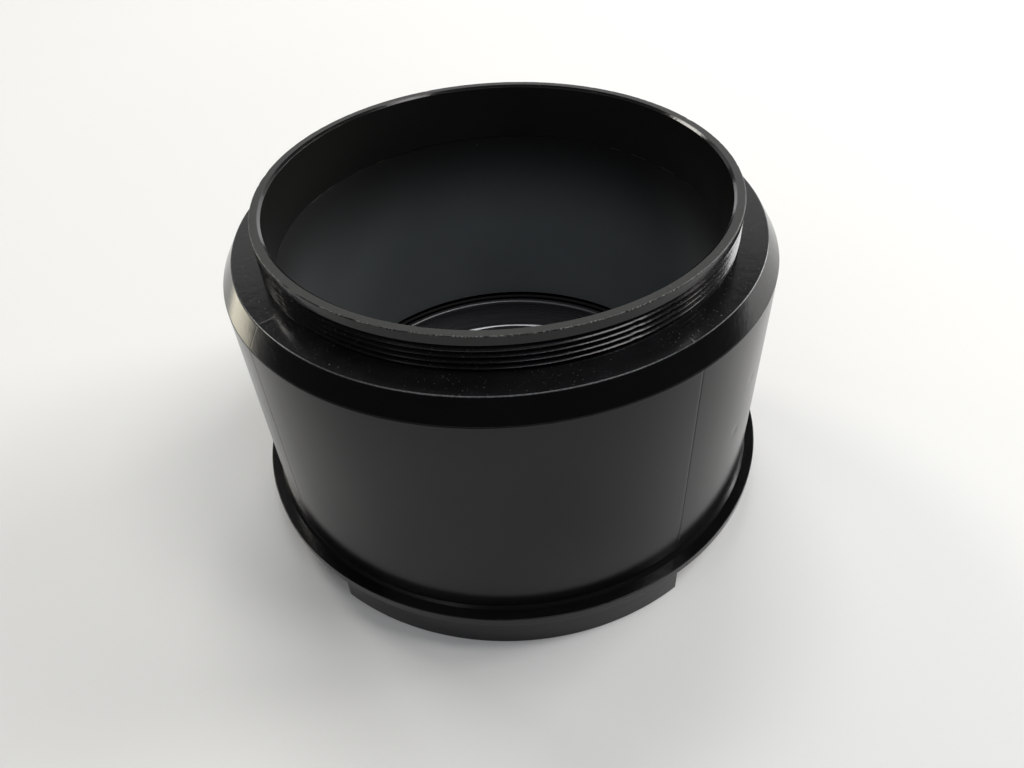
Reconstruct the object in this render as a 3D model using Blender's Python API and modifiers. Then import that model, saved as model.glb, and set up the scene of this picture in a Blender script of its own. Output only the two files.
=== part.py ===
"""Wide-bore Barlow lens: a short black tube with a male accessory thread in front and a three-lug bayonet foot.

Units are metres, +Z up. The foot stands on Z = 0 and the optical axis is the Z axis, with the front thread
on top. Dimensions below are millimetres and are scaled by MM where the meshes are made.
"""

import math

import bmesh
import bpy

MM = 0.001
GAP = 0.3  # clearance between pieces that rest on each other
STACK_GAP = 0.2  # clearance between the thin pieces of the lens stack
EDGE = 0.1  # fillet of a sharp moulded edge
RIM_EDGE = 0.12  # fillet of the worn front rim

# Outer shape, from the foot upwards
FLANGE_LOW = 5.2
FLANGE_TOP = 6.4
FLANGE_RADIUS = 35.5
FOOT_RADIUS = 34.6
BARREL_RADIUS = 33.8
BARREL_WALL = 1.9
BARREL_TOP = 37.1
BASE_FILLET = 0.65  # the barrel flares to a small ledge above the flange
LEDGE_THICKNESS = 0.15
CHAMFER_LOW = BARREL_TOP + GAP
SHOULDER_HEIGHT = 40.0
SHOULDER_RADIUS = 32.2
RIM_TOP = 44.7

# Front thread, M58 x 0.75
THREAD_PITCH = 0.75
THREAD_CREST = 29.0
THREAD_ROOT = 28.5
THREAD_START_ANGLE = math.radians(152)
THREAD_START_HEIGHT = 40.38
THREAD_TURNS = 4.05
LAND_LOW = 43.3  # underside of the plain land between the thread and the rim
RUN_OUT_RADIUS = 29.1  # a small cone carries the thread's root out to the shoulder
RUN_OUT_HEIGHT = 40.25

# Spigot of the front ring, which is bonded into the barrel
FRONT_SPIGOT_RADIUS = BARREL_RADIUS - BARREL_WALL - 0.4
FRONT_SPIGOT_WALL = 1.6
FRONT_SPIGOT_LOW = 31.5
RECESS_TOP = 38.2

# Bore and liner
BORE_RADIUS = 27.7
LINER_RADIUS = 27.75
LINER_OUTER = 29.2
LINER_LOW = 7.95
SLEEVE_LOW = 36.9

# Bayonet
LUG_COUNT = 3
LUG_CENTRE = math.radians(267)
LUG_SPAN = math.radians(76)
TAB_RADIUS = 31.9
TAB_THICKNESS = 1.6
CHANNEL_RADIUS = 33.2
SPIGOT_RADIUS = 29.2
SPIGOT_LOW = 0.8
CELL_BORE = 27.6
SEAT_RADIUS = 28.5  # the liner stands on this raised ring
SEAT_OUTER = LINER_OUTER + 0.1
SEAL_CORD = 0.3  # radius of the rubber light seal

# Fasteners in the gaps between the lugs
SCREW_CIRCLE = 31.4
SCREW_RADIUS = 0.8
SCREW_HEAD_RADIUS = 1.9
SCREW_HEAD_LOW = 5.3
SCREW_HEAD_HEIGHT = 0.95
SCREW_TIP = 11.5
CROSS_SLOT = (2.0, 0.4, 0.9)
SINK_DEPTH = 0.4  # how far a cutter stands out of the face that it opens
BOSS_RADIUS = 1.9
BOSS_LOW = 6.95
BOSS_TOP = 13.5
STOP_PIN_ANGLE = math.radians(104)
STOP_PIN_RADIUS = 0.9
STOP_PIN_LOW = 3.0

# Lens cell
CELL_RADIUS = CELL_BORE - GAP
CELL_WALL_INSIDE = 26.3
CELL_LOW = 0.6
CELL_FLOOR = 1.6
CELL_LIP = 7.1
CELL_BEVEL_TOP = 2.25
HUB_RADIUS = 19.4
HUB_TOP = 7.4
HUB_BORE = 17.8
REAR_APERTURE = 16.2
GLASS_SEAT = 1.3
LIP_FILLET = 0.45
HUB_FILLET = 0.4
CELL_SLOT = (2.4, 2.0, 2.0)

# Negative doublet: a biconcave front element over a meniscus
GLASS_RADIUS = HUB_BORE - GAP
FRONT_CURVE = 200.0
INNER_CURVE = 130.0
REAR_CURVE = 220.0
FRONT_THICKNESS = 1.0
REAR_THICKNESS = 1.2
INNER_EDGE_GAP = 0.8
SPACER_WIDTH = 1.1
SPACER_THICKNESS = 0.28
SPACER_LIFT = 0.35  # the spacer floats between the glasses, whose edges it keeps apart
CUSHION_WIDTH = 1.4
RING_FIT = 0.1  # radial clearance of the spacer and the cushion in the hub
RETAINER_INNER = 15.7
RETAINER_THICKNESS = 0.7
RETAINER_SLOT = (2.6, 1.4, 0.8)

OUTER_SEGMENTS = 72
INNER_SEGMENTS = 48
ARC_STEPS = 2
LENS_STEPS = 4


def material(name, colour, roughness, metallic=0.0, transmission=0.0):
    made = bpy.data.materials.new(name)
    made.use_nodes = True
    shader = made.node_tree.nodes["Principled BSDF"]
    shader.inputs["Base Color"].default_value = (*colour, 1.0)
    shader.inputs["Roughness"].default_value = roughness
    shader.inputs["Metallic"].default_value = metallic
    shader.inputs["Transmission Weight"].default_value = transmission
    made.diffuse_color = (*colour, 1.0)
    return made


def fillet(before, corner, after, radius):
    """The arc of this radius that rounds a corner between two straight stretches."""
    def direction(target):
        dx, dz = target[0] - corner[0], target[1] - corner[1]
        length = math.hypot(dx, dz)
        return dx / length, dz / length

    a, b = direction(before), direction(after)
    half = math.acos(max(-1.0, min(1.0, a[0] * b[0] + a[1] * b[1]))) / 2
    middle = math.hypot(a[0] + b[0], a[1] + b[1])
    reach = radius / math.sin(half)
    centre = [corner[i] + (a[i] + b[i]) / middle * reach for i in (0, 1)]
    start = [corner[i] + a[i] * radius / math.tan(half) - centre[i] for i in (0, 1)]
    side = 1 if a[0] * b[1] - a[1] * b[0] < 0 else -1
    points = []
    for step in range(ARC_STEPS + 1):
        turn = side * (math.pi - 2 * half) * step / ARC_STEPS
        points.append((
            centre[0] + start[0] * math.cos(turn) - start[1] * math.sin(turn),
            centre[1] + start[0] * math.sin(turn) + start[1] * math.cos(turn),
        ))
    return points


def outline(corners):
    """Points of a section whose corners are (radius, height) or (radius, height, fillet radius)."""
    points = []
    for i, corner in enumerate(corners):
        if len(corner) == 3:
            points += fillet(corners[i - 1], corner, corners[(i + 1) % len(corners)], corner[2])
        else:
            points.append(corner)
    return points


def spherical(height, curve, edge, outward):
    """Points of a lens surface whose middle is at this height. A positive curve is low in the middle."""
    radii = [edge * i / LENS_STEPS for i in range(LENS_STEPS + 1)]
    points = [(r, height + math.copysign(abs(curve) - math.sqrt(curve**2 - r**2), curve)) for r in radii]
    return points if outward else points[::-1]


def sag(curve, radius):
    return curve - math.sqrt(curve**2 - radius**2)


def link(thing, collection):
    collection.objects.link(thing)
    return thing


def mesh_object(name, mesh, collection, look=None, location=(0, 0, 0)):
    made = link(bpy.data.objects.new(name, mesh), collection)
    made.location = [value * MM for value in location]
    if look:
        mesh.materials.append(look)
    return made


def turned(name, points, collection, look=None, segments=INNER_SEGMENTS, closed=True):
    """A solid of revolution about Z. Its section runs down the outer side. An open one ends on the axis."""
    base = min(z for _, z in points)
    mesh = bpy.data.meshes.new(name)
    corners = [(r * MM, 0.0, (z - base) * MM) for r, z in points]
    edges = [(i, i + 1) for i in range(len(corners) - 1)]
    if closed:
        edges.append((len(corners) - 1, 0))
    mesh.from_pydata(corners, edges, [])
    made = mesh_object(name, mesh, collection, look, (0, 0, base))
    screw = made.modifiers.new("Turn", "SCREW")
    screw.axis = "Z"
    screw.angle = 2 * math.pi
    screw.steps = screw.render_steps = segments
    screw.use_merge_vertices = True
    screw.merge_threshold = 0.00001
    screw.use_smooth_shade = True
    return made


def as_cutter(thing):
    thing.hide_render = True
    thing.display_type = "WIRE"
    return thing


def combine(thing, other, operation):
    modifier = thing.modifiers.new(other.name, "BOOLEAN")
    modifier.object = other
    modifier.operation = operation
    modifier.solver = "EXACT"


def polar(radius, angle, height):
    return radius * math.cos(angle), radius * math.sin(angle), height


def post(name, collection, low, high, low_radius, high_radius, place, look=None, segments=20):
    """A round post or cone that stands on the circle of the fasteners."""
    bm = bmesh.new()
    bmesh.ops.create_cone(
        bm, cap_ends=True, segments=segments, radius1=low_radius * MM, radius2=high_radius * MM,
        depth=(high - low) * MM,
    )
    mesh = bpy.data.meshes.new(name)
    bm.to_mesh(mesh)
    bm.free()
    mesh.shade_smooth()
    mesh.set_sharp_from_angle(angle=math.radians(30))
    return mesh_object(name, mesh, collection, look, (place[0], place[1], (low + high) / 2))


def block(name, collection, size, centre, angle=0.0):
    bm = bmesh.new()
    bmesh.ops.create_cube(bm, size=1.0)
    bmesh.ops.scale(bm, verts=bm.verts, vec=[value * MM for value in size])
    mesh = bpy.data.meshes.new(name)
    bm.to_mesh(mesh)
    bm.free()
    made = as_cutter(mesh_object(name, mesh, collection, None, centre))
    made.rotation_euler.z = angle
    return made


def sector(name, collection, inner, outer, low, high, start, span, steps=10):
    """A cutter shaped as a thick arc, swept from one rectangular face."""
    bm = bmesh.new()
    corners = [(inner, low), (outer, low), (outer, high), (inner, high)]
    verts = [bm.verts.new([value * MM for value in polar(r, start, z)]) for r, z in corners]
    face = bm.faces.new(verts)
    swept = bmesh.ops.extrude_face_region(bm, geom=[face])
    current = [item for item in swept["geom"] if isinstance(item, bmesh.types.BMVert)]
    for step in range(steps):
        for vert in current:
            x, y = vert.co.x, vert.co.y
            turn = span / steps
            vert.co.x = x * math.cos(turn) - y * math.sin(turn)
            vert.co.y = x * math.sin(turn) + y * math.cos(turn)
        if step == steps - 1:
            break
        ends = [f for f in bm.faces if all(v in current for v in f.verts)]
        swept = bmesh.ops.extrude_face_region(bm, geom=ends)
        bmesh.ops.delete(bm, geom=ends, context="FACES_ONLY")
        current = [item for item in swept["geom"] if isinstance(item, bmesh.types.BMVert)]
    bmesh.ops.recalc_face_normals(bm, faces=bm.faces)
    mesh = bpy.data.meshes.new(name)
    bm.to_mesh(mesh)
    bm.free()
    return as_cutter(mesh_object(name, mesh, collection))


def thread_ridge(name, collection):
    """The helical ridge of the front thread. Both ends sink into the root cylinder over an eighth of a turn."""
    per_turn = INNER_SEGMENTS
    count = round(THREAD_TURNS * per_turn)
    run_out = per_turn // 8
    buried, sunk_crest = THREAD_ROOT - 1.5 * EDGE, THREAD_ROOT - EDGE / 2
    half_base, half_crest = 0.42 * THREAD_PITCH, 0.1 * THREAD_PITCH
    bm = bmesh.new()
    rings = []
    for i in range(count + 1):
        angle = THREAD_START_ANGLE + 2 * math.pi * i / per_turn
        height = THREAD_START_HEIGHT + THREAD_PITCH * i / per_turn
        share = min(1.0, i / run_out, (count - i) / run_out)
        crest = sunk_crest + (THREAD_CREST - sunk_crest) * share
        section = [(buried, -half_base), (crest, -half_crest), (crest, half_crest), (buried, half_base)]
        rings.append([bm.verts.new([v * MM for v in polar(r, angle, height + z)]) for r, z in section])
    for low, high in zip(rings, rings[1:]):
        for i in range(4):
            bm.faces.new((low[i], low[(i + 1) % 4], high[(i + 1) % 4], high[i]))
    bm.faces.new(rings[0])
    bm.faces.new(rings[-1])
    bmesh.ops.recalc_face_normals(bm, faces=bm.faces)
    mesh = bpy.data.meshes.new(name)
    bm.to_mesh(mesh)
    bm.free()
    return as_cutter(mesh_object(name, mesh, collection))


def screw_angles():
    """The screws stand in the middle of the gaps between the lugs."""
    return [LUG_CENTRE + math.pi / LUG_COUNT + 2 * math.pi * i / LUG_COUNT for i in range(LUG_COUNT)]


def barrel_sleeve(parts, cutters, look):
    inside = BARREL_RADIUS - BARREL_WALL
    base = FLANGE_TOP + GAP
    ledge = BARREL_RADIUS + BASE_FILLET + EDGE
    section = outline([
        (BARREL_RADIUS, BARREL_TOP, EDGE),
        (BARREL_RADIUS, base + LEDGE_THICKNESS, BASE_FILLET),
        (ledge, base + LEDGE_THICKNESS),
        (ledge, base),
        (inside, base),
        (inside, BARREL_TOP),
    ])
    sleeve = turned("barrel_sleeve", section, parts, look, OUTER_SEGMENTS)
    for number, angle in enumerate(screw_angles(), 1):
        place = polar(SCREW_CIRCLE, angle, 0)
        boss = as_cutter(post(f"boss_{number}", cutters, BOSS_LOW, BOSS_TOP, BOSS_RADIUS, BOSS_RADIUS, place))
        hole_radius = SCREW_RADIUS + GAP
        hole = as_cutter(post(
            f"boss_hole_{number}", cutters, base - 1, SCREW_TIP + 2 * GAP, hole_radius, hole_radius, place,
        ))
        combine(sleeve, boss, "UNION")
        combine(sleeve, hole, "DIFFERENCE")
    return sleeve


def front_thread_ring(parts, cutters, look):
    spigot_inner = FRONT_SPIGOT_RADIUS - FRONT_SPIGOT_WALL
    section = outline([
        (THREAD_CREST, RIM_TOP, RIM_EDGE),
        (THREAD_CREST, LAND_LOW),
        (THREAD_ROOT, LAND_LOW - GAP),
        (THREAD_ROOT, RUN_OUT_HEIGHT),
        (RUN_OUT_RADIUS, SHOULDER_HEIGHT),
        (SHOULDER_RADIUS, SHOULDER_HEIGHT, EDGE),
        (BARREL_RADIUS, CHAMFER_LOW),
        (FRONT_SPIGOT_RADIUS, CHAMFER_LOW),
        (FRONT_SPIGOT_RADIUS, FRONT_SPIGOT_LOW, GAP),
        (spigot_inner, FRONT_SPIGOT_LOW),
        (spigot_inner, RECESS_TOP),
        (THREAD_CREST, RECESS_TOP),
        (THREAD_CREST, SLEEVE_LOW),
        (BORE_RADIUS, SLEEVE_LOW),
        (BORE_RADIUS, RIM_TOP, RIM_EDGE),
    ])
    ring = turned("front_thread_ring", section, parts, look, OUTER_SEGMENTS)
    combine(ring, thread_ridge("thread_ridge", cutters), "UNION")
    return ring


def baffle_tube(parts, look):
    top = SLEEVE_LOW - GAP
    section = outline([
        (LINER_OUTER, top),
        (LINER_OUTER, LINER_LOW),
        (LINER_RADIUS, LINER_LOW, EDGE),
        (LINER_RADIUS, top),
    ])
    return turned("baffle_tube", section, parts, look, OUTER_SEGMENTS)


def bayonet_ring(parts, cutters, look):
    seat_top = LINER_LOW - GAP
    section = outline([
        (FLANGE_RADIUS, FLANGE_TOP, 2 * EDGE),
        (FLANGE_RADIUS, FLANGE_LOW, EDGE),
        (FOOT_RADIUS, FLANGE_LOW),
        (FOOT_RADIUS, 0, 1.5 * EDGE),
        (TAB_RADIUS, 0, 1.5 * EDGE),
        (TAB_RADIUS, TAB_THICKNESS),
        (CHANNEL_RADIUS, TAB_THICKNESS),
        (CHANNEL_RADIUS, FLANGE_LOW),
        (SPIGOT_RADIUS, FLANGE_LOW),
        (SPIGOT_RADIUS, SPIGOT_LOW),
        (CELL_BORE, SPIGOT_LOW),
        (CELL_BORE, FLANGE_TOP),
        (SEAT_RADIUS, FLANGE_TOP),
        (SEAT_RADIUS, seat_top),
        (SEAT_OUTER, seat_top),
        (SEAT_OUTER, FLANGE_TOP),
    ])
    ring = turned("bayonet_ring", section, parts, look, OUTER_SEGMENTS)
    gap_span = 2 * math.pi / LUG_COUNT - LUG_SPAN
    between = (SPIGOT_RADIUS + TAB_RADIUS) / 2
    for number, angle in enumerate(screw_angles(), 1):
        gap = sector(
            f"lug_gap_{number}", cutters, between, FLANGE_RADIUS + 2, -1, FLANGE_LOW,
            angle - gap_span / 2, gap_span,
        )
        combine(ring, gap, "DIFFERENCE")
        place = polar(SCREW_CIRCLE, angle, 0)
        hole_radius = SCREW_RADIUS + GAP
        sink = as_cutter(post(
            f"countersink_{number}", cutters, SCREW_HEAD_LOW - SINK_DEPTH, SCREW_HEAD_LOW + SCREW_HEAD_HEIGHT,
            SCREW_HEAD_RADIUS + GAP + SINK_DEPTH, hole_radius, place,
        ))
        hole = as_cutter(post(
            f"flange_hole_{number}", cutters, SCREW_HEAD_LOW + GAP, FLANGE_TOP + 1, hole_radius, hole_radius,
            place,
        ))
        combine(ring, sink, "DIFFERENCE")
        combine(ring, hole, "DIFFERENCE")
    pin_place = polar(SCREW_CIRCLE, STOP_PIN_ANGLE, 0)
    pin_hole_radius = STOP_PIN_RADIUS + GAP
    pin_hole = as_cutter(post(
        "pin_hole", cutters, FLANGE_LOW - 1, FLANGE_TOP + 1, pin_hole_radius, pin_hole_radius, pin_place,
    ))
    combine(ring, pin_hole, "DIFFERENCE")
    return ring


def flange_screw(number, angle, parts, cutters, look):
    """A countersunk cross-head screw that goes up through the flange into a boss of the barrel."""
    place = polar(SCREW_CIRCLE, angle, 0)
    head_top = SCREW_HEAD_LOW + SCREW_HEAD_HEIGHT
    screw = post(
        f"flange_screw_{number}", parts, SCREW_HEAD_LOW, head_top, SCREW_HEAD_RADIUS, SCREW_RADIUS, place, look,
    )
    shank_low = SCREW_HEAD_LOW + SCREW_HEAD_HEIGHT / 2
    shank = as_cutter(post(
        f"shank_{number}", cutters, shank_low, SCREW_TIP, SCREW_RADIUS, SCREW_RADIUS, place,
    ))
    combine(screw, shank, "UNION")
    for arm in (0, 1):
        slot = block(
            f"cross_slot_{number}_{arm}", cutters, CROSS_SLOT, (*place[:2], SCREW_HEAD_LOW),
            angle + arm * math.pi / 2,
        )
        combine(screw, slot, "DIFFERENCE")
    return screw


def light_seal_ring(parts, look):
    """A rubber cord that closes the gap between the lens cell, the liner and the bayonet ring."""
    middle, sides = (CELL_RADIUS + SEAT_RADIUS + EDGE) / 2, 6
    height = FLANGE_TOP + GAP + SEAL_CORD
    points = []
    for i in range(sides):
        angle = -2 * math.pi * i / sides
        points.append((middle + SEAL_CORD * math.cos(angle), height + SEAL_CORD * math.sin(angle)))
    return turned("light_seal_ring", points, parts, look)


def lens_cell(parts, cutters, look):
    """A threaded cup: an outer wall with a rounded lip, a bevelled floor and a hub that holds the glass."""
    section = outline([
        (CELL_RADIUS, CELL_LIP, LIP_FILLET),
        (CELL_RADIUS, CELL_LOW, 2 * EDGE),
        (REAR_APERTURE, CELL_LOW),
        (REAR_APERTURE, GLASS_SEAT),
        (HUB_BORE, GLASS_SEAT),
        (HUB_BORE, HUB_TOP),
        (HUB_RADIUS, HUB_TOP, HUB_FILLET),
        (HUB_RADIUS, CELL_FLOOR),
        (CELL_WALL_INSIDE - 1, CELL_FLOOR),
        (CELL_WALL_INSIDE, CELL_BEVEL_TOP),
        (CELL_WALL_INSIDE, CELL_LIP, LIP_FILLET),
    ])
    cell = turned("lens_cell", section, parts, look)
    for side in (-1, 1):
        slot = block(
            f"cell_spanner_slot_{side}", cutters, CELL_SLOT, (side * CELL_RADIUS, 0, CELL_LOW),
        )
        combine(cell, slot, "DIFFERENCE")
    return cell


def stack_heights():
    """Heights of the glass surfaces on the axis and at their edges, from the seat upwards."""
    rear_edge = GLASS_SEAT + STACK_GAP
    rear_middle = rear_edge + sag(REAR_CURVE, GLASS_RADIUS)
    upper_middle = rear_middle + REAR_THICKNESS
    upper_edge = upper_middle - sag(INNER_CURVE, GLASS_RADIUS)
    front_low_edge = upper_edge + INNER_EDGE_GAP
    front_low_middle = front_low_edge + sag(INNER_CURVE, GLASS_RADIUS)
    front_middle = front_low_middle + FRONT_THICKNESS
    front_edge = front_middle + sag(FRONT_CURVE, GLASS_RADIUS)
    return {
        "rear_middle": rear_middle, "upper_middle": upper_middle, "upper_edge": upper_edge,
        "front_low_edge": front_low_edge, "front_low_middle": front_low_middle,
        "front_middle": front_middle, "front_edge": front_edge,
    }


def front_element(parts, look, heights):
    points = spherical(heights["front_middle"], FRONT_CURVE, GLASS_RADIUS, outward=True)
    points += spherical(heights["front_low_middle"], -INNER_CURVE, GLASS_RADIUS, outward=False)
    return turned("front_element", points, parts, look, closed=False)


def rear_element(parts, look, heights):
    points = spherical(heights["upper_middle"], -INNER_CURVE, GLASS_RADIUS, outward=True)
    points += spherical(heights["rear_middle"], -REAR_CURVE, GLASS_RADIUS, outward=False)
    return turned("rear_element", points, parts, look, closed=False)


def flat_ring(name, parts, look, inner, outer, low, high):
    section = [(outer, high), (outer, low), (inner, low), (inner, high)]
    return turned(name, section, parts, look)


def retaining_ring(parts, cutters, look, low):
    high = low + RETAINER_THICKNESS
    section = outline([
        (GLASS_RADIUS, high, EDGE),
        (GLASS_RADIUS, low),
        (RETAINER_INNER, low),
        (RETAINER_INNER, high, EDGE),
    ])
    ring = turned("retaining_ring", section, parts, look)
    middle = (RETAINER_INNER + GLASS_RADIUS) / 2
    for side in (-1, 1):
        slot = block(f"ring_spanner_slot_{side}", cutters, RETAINER_SLOT, (side * middle, 0, high))
        combine(ring, slot, "DIFFERENCE")
    return ring


def main():
    for thing in list(bpy.data.objects):
        bpy.data.objects.remove(thing, do_unlink=True)
    parts = bpy.data.collections.new("barlow_lens")
    cutters = bpy.data.collections.new("barlow_lens_cutters")
    for collection in (parts, cutters):
        bpy.context.scene.collection.children.link(collection)

    matte = material("matte_black_plastic", (0.022, 0.022, 0.023), 0.55)
    gloss = material("gloss_black_plastic", (0.008, 0.008, 0.009), 0.18)
    liner = material("liner_matte_black", (0.014, 0.015, 0.016), 0.7)
    anodised = material("cell_black_anodised", (0.010, 0.010, 0.011), 0.25)
    glass = material("optical_glass", (0.94, 0.97, 0.96), 0.02, transmission=1.0)
    steel = material("screw_steel", (0.10, 0.10, 0.10), 0.35, metallic=1.0)
    rubber = material("seal_rubber", (0.012, 0.012, 0.012), 0.85)

    barrel_sleeve(parts, cutters, matte)
    front_thread_ring(parts, cutters, gloss)
    baffle_tube(parts, liner)
    bayonet_ring(parts, cutters, gloss)
    for number, angle in enumerate(screw_angles(), 1):
        flange_screw(number, angle, parts, cutters, steel)
    pin_place = polar(SCREW_CIRCLE, STOP_PIN_ANGLE, 0)
    post(
        "bayonet_stop_pin", parts, STOP_PIN_LOW, FLANGE_TOP, STOP_PIN_RADIUS, STOP_PIN_RADIUS, pin_place, steel,
    )
    light_seal_ring(parts, rubber)

    cell_axis = link(bpy.data.objects.new("cell_axis", None), parts)
    ring_axis = link(bpy.data.objects.new("retaining_ring_axis", None), parts)
    ring_axis.parent = cell_axis
    heights = stack_heights()
    cushion_low = heights["front_edge"] + STACK_GAP
    spacer_low = heights["upper_edge"] + SPACER_LIFT
    ring_outer = GLASS_RADIUS - RING_FIT
    on_cell = [
        lens_cell(parts, cutters, anodised),
        rear_element(parts, glass, heights),
        flat_ring("element_spacer", parts, anodised, ring_outer - SPACER_WIDTH, ring_outer,
                  spacer_low, spacer_low + SPACER_THICKNESS),
        front_element(parts, glass, heights),
    ]
    on_ring = [
        flat_ring("cushion_ring", parts, rubber, ring_outer - CUSHION_WIDTH, ring_outer,
                  cushion_low, cushion_low + GAP),
        retaining_ring(parts, cutters, anodised, cushion_low + GAP + STACK_GAP),
    ]
    for piece in on_cell:
        piece.parent = cell_axis
    for piece in on_ring:
        piece.parent = ring_axis


main()
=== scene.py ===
"""Looks of a wide-bore Barlow lens: fine turned and moulded surfaces for the frame's plain solids.

Section profiles are (radius, height) in millimetres, as on a turner's drawing. The meshes are in metres.
"""

import math

import bmesh
import bpy
from mathutils import Matrix, Vector, noise


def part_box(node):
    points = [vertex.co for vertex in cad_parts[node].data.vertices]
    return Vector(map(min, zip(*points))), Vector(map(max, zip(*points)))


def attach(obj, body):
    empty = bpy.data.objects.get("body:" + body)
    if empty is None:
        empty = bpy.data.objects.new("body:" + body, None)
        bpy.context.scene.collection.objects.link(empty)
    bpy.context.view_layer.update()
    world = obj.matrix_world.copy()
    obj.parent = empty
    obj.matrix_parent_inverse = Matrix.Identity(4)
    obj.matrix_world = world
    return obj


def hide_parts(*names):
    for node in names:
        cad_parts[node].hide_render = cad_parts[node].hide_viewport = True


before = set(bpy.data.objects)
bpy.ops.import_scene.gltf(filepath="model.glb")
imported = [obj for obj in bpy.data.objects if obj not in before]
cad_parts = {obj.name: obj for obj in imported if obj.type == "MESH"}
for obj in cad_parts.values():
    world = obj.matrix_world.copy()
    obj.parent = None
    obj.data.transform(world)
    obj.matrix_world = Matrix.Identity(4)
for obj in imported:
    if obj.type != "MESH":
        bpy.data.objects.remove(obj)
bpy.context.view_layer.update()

MM = 0.001


def top_of(node):
    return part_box(node)[1].z / MM


def bottom_of(node):
    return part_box(node)[0].z / MM


def radius_of(node):
    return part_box(node)[1].x / MM


# The frame keeps GAP between pieces that rest on each other, and the fine meshes close it to a joint
GAP = 0.3
JOINT = 0.03
FINE_JOINT = 0.02

# Heights and radii that the frame gives
RIM_TOP = top_of("front_thread_ring")
FRONT_SPIGOT_LOW = bottom_of("front_thread_ring")
BARREL_RADIUS = radius_of("front_thread_ring")
CHAMFER_LOW = top_of("barrel_sleeve") + GAP
FLANGE_TOP = bottom_of("barrel_sleeve") - GAP
FLANGE_RADIUS = radius_of("bayonet_ring")
SEAM_HEIGHT = top_of("baffle_tube") + GAP
LINER_LOW = bottom_of("baffle_tube")
LINER_OUTER = radius_of("baffle_tube")
CELL_RADIUS = radius_of("lens_cell")
CELL_LOW = bottom_of("lens_cell")
HUB_TOP = top_of("lens_cell")
RETAINER_TOP = top_of("retaining_ring")

# Front ring
SHOULDER_HEIGHT = 40.0
SHOULDER_RADIUS = 32.2
LAND_LOW = 43.55
LAND_SLOPE = 0.3
NECK_FOOT_WIDTH = 0.45
NECK_FOOT_HEIGHT = 0.2
BORE_RADIUS = 27.7
BEVEL_DROP = 0.28
BEVEL_WIDTH = 0.35
FRONT_SPIGOT_RADIUS = 31.5
FRONT_SPIGOT_INNER = 29.9
RECESS_RADIUS = 29.0
RECESS_TOP = 38.2

# Front thread, M58 x 0.75
THREAD_CREST = 29.0
THREAD_ROOT = 28.5
THREAD_PITCH = 0.75
THREAD_START = math.radians(152)
THREAD_START_HEIGHT = 40.38
THREAD_TURNS = 4.05
THREAD_STEPS = 360
THREAD_PHASE = 0.37  # share of a step that keeps the thread's points off the ring's

# Two small knocks on the thread: azimuth and depth
THREAD_KNOCKS = [(math.radians(292), 0.14), (math.radians(296.5), 0.10)]
KNOCK_WIDTH = math.radians(0.25)

# Moulding lines run down the outside at four azimuths
MOULD_LINES = [math.radians(35.5 + 90 * i) for i in range(4)]
MOULD_LINE_HALF_WIDTH = 0.1
MOULD_LINE_DEPTH = 0.035
SHOULDER_LINE_SHARE = 0.5
CHAMFER_LINE_SHARE = 0.2

# Barrel and liner
BARREL_WALL = 1.9
LEDGE_WIDTH = 0.4
LEDGE_HEIGHT = 0.36
LINER_RADIUS = 27.75
DENT_DEPTH = 0.09
DENTS = [  # azimuth, height, size
    (math.radians(327.2), 27.4, 0.45),
    (math.radians(322.2), 21.0, 0.50),
    (math.radians(140.0), 24.0, 0.40),
]

# Bayonet foot
FLANGE_LOW = 5.2
FOOT_RADIUS = 34.62
TAB_RADIUS = 31.9
TAB_THICKNESS = 1.6
CHANNEL_RADIUS = 33.2
SPIGOT_RADIUS = 29.2
SPIGOT_LOW = 0.8
CELL_BORE = 27.6
SEAT_RADIUS = 28.5
SEAT_OUTER = LINER_OUTER + 0.1
LUG_COUNT = 3
LUG_CENTRE = math.radians(267)
LUG_SPAN = math.radians(76)

# Screws, their bosses in the barrel and their countersinks in the foot
SCREW_CIRCLE = 31.4
SCREW_SHANK = 0.78
SCREW_HEAD = 1.88
CROSS_SLOT = (2.0, 0.42, 1.1)
BOSS_RADIUS = 1.9
BOSS_LOW = 6.9
BOSS_TOP = 13.5
SCREW_HOLE = 1.1
SCREW_HOLE_TOP = 12.1
SINK_NECK = 6.25
SINK_RADIUS = 2.6
SINK_LOW = 4.9
STOP_PIN_ANGLE = math.radians(104)
STOP_PIN_RADIUS = 0.9
STOP_PIN_HOLE = 0.96

# Lens cell and glass
CELL_WALL_INSIDE = 26.3
CELL_FLOOR = 1.3
CELL_LIP = HUB_TOP - 0.3
BEVEL_INNER = 25.35
BEVEL_HIGH = 2.0
HUB_RADIUS = 19.4
HUB_BORE = 17.8
REAR_APERTURE = 16.2
GLASS_SEAT = 1.3
CELL_SLOT = (2.4, 2.0, 2.0)
FRONT_CURVE = 200.0
INNER_CURVE = 130.0
REAR_CURVE = 220.0
GLASS_BEVEL = 0.12
GLASS_STEPS = 24
SPACER_INNER = 16.3
CUSHION_INNER = 16.0
RETAINER_INNER = 15.7
RETAINER_SLOT = (2.6, 1.4, 0.8)

# How finely round pieces are divided
RIM_STEPS = 640
FINE = 384
MEDIUM = 192
SCREW_STEPS = 64
HOLE_STEPS = 48
ARC_STEPS = 5
CORD_STEPS = 16
SHARP_ANGLE = math.radians(40)


# ---------------------------------------------------------------- meshes

def unit(dx, dz):
    length = math.hypot(dx, dz)
    return dx / length, dz / length


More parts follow.
